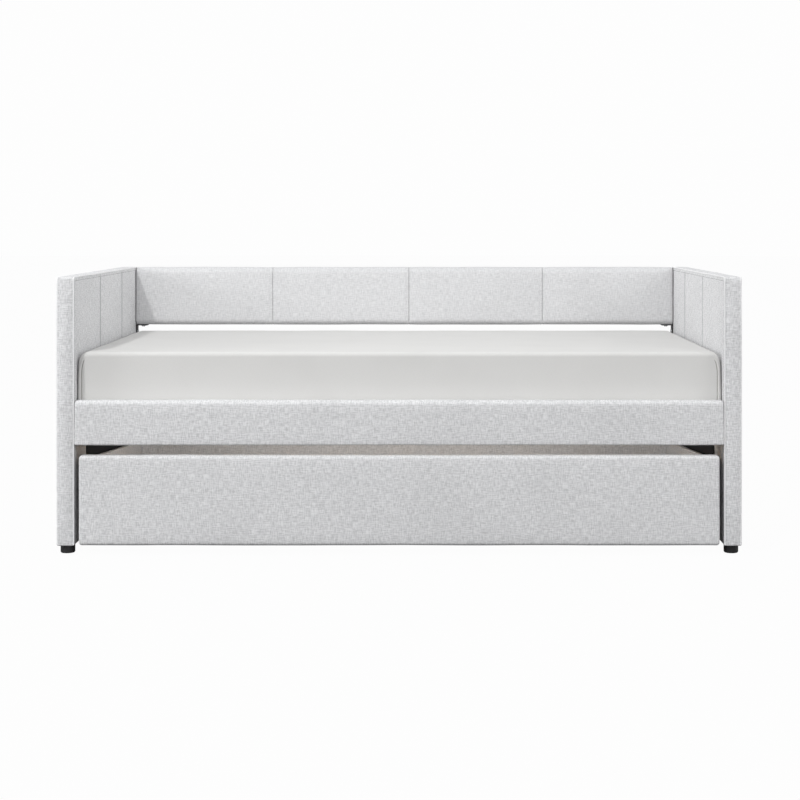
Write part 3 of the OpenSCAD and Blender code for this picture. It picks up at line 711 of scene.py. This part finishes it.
mattress = wrapPanel("mattressCover", mattressLook, finish["ticking"], "mattress",
                     ["mattress"])
settle(mattress, mattressLook)
blowUp(mattress, mattressLook)
smoother = mattress.modifiers.new("smoother", "SUBSURF")
smoother.levels = smoother.render_levels = 1
applyModifiers(mattress)
place = np.array([v.co for v in mattress.data.vertices]) / mm
facing = np.array([v.normal for v in mattress.data.vertices])
wave = mattressLook["drift"] * ripple(place * (1, 1, 0.45), mattressLook["driftSize"],
                                      mattressLook["seed"])
wave *= np.clip((place[:, 2] - mattressLook["rest"]) / mattressLook["driftRise"], 0, 1)
mattress.data.vertices.foreach_set("co", ((place + facing * wave[:, None]) * mm).ravel())
mattress.data.update()
print("mattress ready")


# Black lining cloths, stretched and stapled inside the arms.
liningLook = {"y": (-357.5, 500.5), "z": (40.0, 320.0), "x": 959.55, "thick": 0.7, "step": 22, "seed": 71,
              "slack": 0.35, "slackSize": 60}
liningRows, liningColumns = (round((liningLook[axis][1] - liningLook[axis][0]) / liningLook["step"]) + 1
                             for axis in "yz")
for side, label in ((-1, "left"), (1, "right")):
    ys = np.linspace(*liningLook["y"], liningRows)
    zs = np.linspace(*liningLook["z"], liningColumns)
    points = np.array([(side * liningLook["x"], y, z) for y in ys for z in zs])
    slack = ripple(points, liningLook["slackSize"], liningLook["seed"] + side)
    points[:, 0] -= side * liningLook["slack"] * (0.5 + 0.5 * slack)
    rows = len(zs)
    quads = [(a * rows + b, (a + 1) * rows + b, (a + 1) * rows + b + 1, a * rows + b + 1)
             for a in range(len(ys) - 1) for b in range(rows - 1)]
    if side > 0:
        quads = [quad[::-1] for quad in quads]
    corners = points[np.array(quads)]
    lining = meshPiece(label + "Lining", points, quads, finish["blackFelt"],
                       corners[:, :, 1:].reshape(-1, 2))
    wall = lining.modifiers.new("wall", "SOLIDIFY")
    wall.thickness = liningLook["thick"] * mm
    wall.offset = 0
    applyModifiers(lining)
    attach(lining, "bed_frame")
    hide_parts(label + "_arm_lining")
print("linings ready")


# Sewing and staples: small shapes set along lines that are snapped to a finished surface.
def makeStitchTree():
    tree, given, result = newGroup("stitchRow", "GeometryNodeTree", {
        "Geometry": ("Geometry", None), "Pitch": ("Float", 0.006), "Length": ("Float", 0.0045),
        "Width": ("Float", 0.0009), "Finish": ("Material", None)}, {"Geometry": "Geometry"})
    line = put(tree, "GeometryNodeMeshToCurve", {0: given["Geometry"]})
    spaced = put(tree, "GeometryNodeResampleCurve", {"Curve": line.outputs[0], "Length": given["Pitch"]},
                 mode="LENGTH")
    bead = put(tree, "GeometryNodeMeshUVSphere", {"Segments": 6, "Rings": 4, "Radius": 0.5})
    size = put(tree, "ShaderNodeCombineXYZ", {0: given["Length"], 1: given["Width"], 2: given["Width"]})
    stretched = put(tree, "GeometryNodeTransform", {"Geometry": bead.outputs[0], "Scale": size.outputs[0]})
    tangent = put(tree, "GeometryNodeInputTangent")
    up = put(tree, "GeometryNodeInputNamedAttribute", {"Name": "up"}, data_type="FLOAT_VECTOR")
    turn = put(tree, "FunctionNodeAlignRotationToVector", {"Vector": up.outputs[0]}, axis="Z")
    turn = put(tree, "FunctionNodeAlignRotationToVector", {
        "Rotation": turn.outputs[0], "Vector": tangent.outputs[0]}, axis="X", pivot_axis="Z")
    spread = put(tree, "GeometryNodeInstanceOnPoints", {
        "Points": spaced.outputs[0], "Instance": stretched.outputs[0], "Rotation": turn.outputs[0]})
    solid = put(tree, "GeometryNodeRealizeInstances", {0: spread.outputs[0]})
    smooth = put(tree, "GeometryNodeSetShadeSmooth", {"Geometry": solid.outputs[0]})
    coated = put(tree, "GeometryNodeSetMaterial", {"Geometry": smooth.outputs[0],
                                                   "Material": given["Finish"]})
    tree.links.new(coated.outputs[0], result[0])
    return tree


# A round cord laid along a line, with closed ends.
def makeCordTree():
    tree, given, result = newGroup("cordAlong", "GeometryNodeTree", {
        "Geometry": ("Geometry", None), "Radius": ("Float", 0.002), "Sides": ("Int", 10),
        "Finish": ("Material", None)}, {"Geometry": "Geometry"})
    line = put(tree, "GeometryNodeMeshToCurve", {0: given["Geometry"]})
    ring = put(tree, "GeometryNodeCurvePrimitiveCircle", {"Resolution": given["Sides"],
                                                         "Radius": given["Radius"]})
    tube = put(tree, "GeometryNodeCurveToMesh", {0: line.outputs[0], 1: ring.outputs[0],
                                                 "Fill Caps": True})
    solid = put(tree, "GeometryNodeRealizeInstances", {0: tube.outputs[0]})
    smooth = put(tree, "GeometryNodeSetShadeSmooth", {"Geometry": solid.outputs[0]})
    coated = put(tree, "GeometryNodeSetMaterial", {"Geometry": smooth.outputs[0],
                                                   "Material": given["Finish"]})
    tree.links.new(coated.outputs[0], result[0])
    return tree


growers = {"stitch": makeStitchTree(), "cord": makeCordTree()}


def surfaceOf(piece):
    build = bmesh.new()
    build.from_mesh(piece.data)
    tree = BVHTree.FromBMesh(build)
    build.free()
    return tree


# Points every few mm along straight runs between stops, each moved to the nearest spot on the surface.
def snapLine(tree, stops, step, sink, keep=None):
    line, ups = [], []
    for start, end in zip(stops, stops[1:]):
        start, end = Vector(start) * mm, Vector(end) * mm
        parts = max(1, round((end - start).length / (step * mm)))
        for k in range(parts + (end == Vector(stops[-1]) * mm)):
            aim = start.lerp(end, k / parts)
            spot, normal = tree.find_nearest(aim)[:2]
            spot = spot - normal * sink * mm
            if keep is not None:
                spot[keep] = aim[keep]
            line.append(spot)
            ups.append(normal)
    return line, ups


def growAlong(name, grower, values, lines, body):
    mesh = bpy.data.meshes.new(name + "Lines")
    points, edges, ups = [], [], []
    for line, normals in lines:
        first = len(points)
        points += [tuple(p) for p in line]
        ups += [tuple(n) for n in normals]
        edges += [(first + k, first + k + 1) for k in range(len(line) - 1)]
    mesh.from_pydata(points, edges, [])
    mesh.attributes.new("up", "FLOAT_VECTOR", "POINT").data.foreach_set("vector", np.array(ups).ravel())
    holder = bpy.data.objects.new(name, mesh)
    scene.collection.objects.link(holder)
    grown = holder.modifiers.new("grow", "NODES")
    tree = growers[grower]
    grown.node_group = tree
    sockets = {s.name: s.identifier for s in tree.interface.items_tree
               if s.item_type == "SOCKET" and s.in_out == "INPUT"}
    for label, value in values.items():
        grown[sockets[label]] = value
    depsgraph = bpy.context.evaluated_depsgraph_get()
    made = bpy.data.meshes.new_from_object(holder.evaluated_get(depsgraph), depsgraph=depsgraph)
    holder.modifiers.clear()
    holder.data = made
    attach(holder, body)


sewing = {"Pitch": 6.2 * mm, "Length": 4.8 * mm, "Width": 0.95 * mm, "Finish": finish["sewingThread"]}
stapling = {"Pitch": 55 * mm, "Length": 11 * mm, "Width": 1.3 * mm, "Finish": finish["zincSteel"]}
# The welts take the paler linen, a painted highlight.
welting = {"Radius": 2.3 * mm, "Sides": 10, "Finish": finish["weltPaintedHighlight"]}
# The dark seam cords are painted shade of the grooves they lie in.
shading = {"Radius": 0.8 * mm, "Sides": 6, "Finish": finish["seamShade"]}
stitchSide = 7.6  # from a seam to the row beside it
lineStep = 12     # between the points of a sewn line

# Where lines on the arms are aimed from before they are snapped: just off each face, with its lowest end.
armFaces = ((955, 325), (1020, 36))
armLines = {"stitchTop": 811, "seamTop": 806, "edge": 519, "edgeFoot": 34, "edgeTop": 808}

for side, label in ((-1, "left"), (1, "right")):
    tree = surfaceOf(covers[label])
    rows = []
    for seam in armLook["seams"][1]:
        for row in (seam - stitchSide, seam + stitchSide):
            for x, foot in armFaces:
                rows.append(snapLine(tree, ((side * x, row, foot), (side * x, row, armLines["stitchTop"])),
                                     lineStep, 0.1, 1))
    growAlong(label + "ArmStitches", "stitch", sewing, rows, "bed_frame")
    rows = [snapLine(tree, ((side * x, seam, foot), (side * x, seam, armLines["seamTop"])), lineStep, 0.4, 1)
            for seam in armLook["seams"][1] for x, foot in armFaces]
    edge, foot, top = armLines["edge"], armLines["edgeFoot"], armLines["edgeTop"]
    for x, _ in armFaces:
        rows.append(snapLine(tree, ((side * x, -edge, foot), (side * x, -edge, top), (side * x, edge, top),
                                    (side * x, edge, foot)), lineStep, 0.4))
    growAlong(label + "ArmSeams", "cord", shading, rows, "bed_frame")
    cords = []
    for x, keep in ((961.5, 0), (1013.6, None)):
        stops = ((side * x, -534.4, 28), (side * x, -534.4, 813), (side * x, -532, 818.6),
                 (side * x, -527, 821.0), (side * x, 531, 821.0), (side * x, 535.5, 818.6),
                 (side * x, 538.0, 813), (side * x, 538.0, 28))
        cords.append(snapLine(tree, stops, 10, 0.3, keep))
    growAlong(label + "ArmWelts", "cord", welting, cords, "bed_frame")



# A line up the front of the back panel, over its top and down its rear.
def overBack(tree, x, foot, sink):
    stops = ((x, 480, foot), (x, 480, 800), (x, 490, 822), (x, 534, 822), (x, 541, 800), (x, 541, foot))
    return snapLine(tree, stops, 8, sink, 0)


tree = surfaceOf(covers["back"])
rows = [overBack(tree, seam - backLook["topstitch"], 632, 0.0) for seam in backLook["seams"][0]]
growAlong("backStitches", "stitch", sewing, rows, "bed_frame")
rows = [overBack(tree, x, 630, 0.4)
        for seam in backLook["seams"][0] for x in (seam, seam - backLook["topstitch"])]
growAlong("backSeams", "cord", dict(shading, Radius=0.5 * mm), rows, "bed_frame")

tree = surfaceOf(covers["trundleFront"])
hemLook = {"x": 918, "y": -490, "z": (57, 267)}  # the stapled hem behind the trundle's front
x, y, (foot, top) = hemLook["x"], hemLook["y"], hemLook["z"]
ring = ((-x, y, foot), (x, y, foot), (x, y, top), (-x, y, top), (-x, y, foot))
growAlong("trundleFrontStaples", "stitch", stapling, [snapLine(tree, ring, lineStep, 0.0)], "trundle")

rows = []
stapleRing = {"x": 950, "y": (-350, 493), "z": (48, 312)}  # round the edge of each lining
for side, label in ((-1, "left"), (1, "right")):
    tree = surfaceOf(bpy.data.objects[label + "Lining"])
    x, (front, rear), (foot, top) = side * stapleRing["x"], stapleRing["y"], stapleRing["z"]
    ring = ((x, front, foot), (x, rear, foot), (x, rear, top), (x, front, top), (x, front, foot))
    rows.append(snapLine(tree, ring, lineStep, 0.0))
growAlong("liningStaples", "stitch", stapling, rows, "bed_frame")

# Corner seams of the mattress: a cord up each corner beside a thin dark one, which is painted shade of the
# seam, both sinking in at the shoulder.
tree = surfaceOf(mattress)
cornerLook = {"foot": 396, "top": 585, "bend": 530, "rise": 60, "inset": 28, "edge": 959.0, "steps": 34,
              "front": -545, "rear": 540, "sinkFrom": 567, "sinkOver": 18, "sinkMore": 2.6}
for name, away, radius, sink, look in (("mattressWelts", 7.0, 3.1, 0.9, "tickingCord"),
                                       ("mattressSeams", 12.6, 1.0, 0.3, "tickingShade")):
    cords = []
    for side in (-1, 1):
        for y in (cornerLook["front"], cornerLook["rear"]):
            line, ups = [], []
            for k in range(cornerLook["steps"] + 1):
                z = cornerLook["foot"] + (cornerLook["top"] - cornerLook["foot"]) * k / cornerLook["steps"]
                bend = min(max(0, z - cornerLook["bend"]) / cornerLook["rise"], 1)
                inset = cornerLook["inset"] * (1 - math.sqrt(1 - bend ** 2))
                x = side * (cornerLook["edge"] - away - inset)
                spot, normal = tree.ray_cast(Vector((x, y, z)) * mm, Vector((0, -y, 0)).normalized())[:2]
                if spot is None:
                    continue
                late = max(0, z - cornerLook["sinkFrom"]) / cornerLook["sinkOver"]
                line.append(spot - normal * (sink + cornerLook["sinkMore"] * late) * mm)
                ups.append(normal)
            cords.append((line, ups))
    growAlong(name, "cord", {"Radius": radius * mm, "Sides": 12, "Finish": finish[look]}, cords,
              "mattress")
print("sewing ready")


# The remaining CAD pieces keep their shapes and take a finish.
cadFinishes = {
    "slatPine": ("bed_slat", "trundle_slat"),
    "boardPine": ("core", "ledge", "cleat"),
    "powderSteel": ("brackets",),
    "zincSteel": ("bolts", "screws", "t_nuts", "axles"),
    "footRubber": ("foot_front", "foot_rear"),
    "wheelNylon": ("wheel_",),
    "whiteTape": ("slat_webbing",),
}
for name, node in nodes.items():
    if node.hide_render:
        continue
    for finishName, marks in cadFinishes.items():
        if any(mark in name for mark in marks):
            chosen = finishName
    if not node.material_slots:
        node.data.materials.append(finish[chosen])
    for slot in node.material_slots:
        slot.material = finish[chosen]
print("finishes laid on the frame")
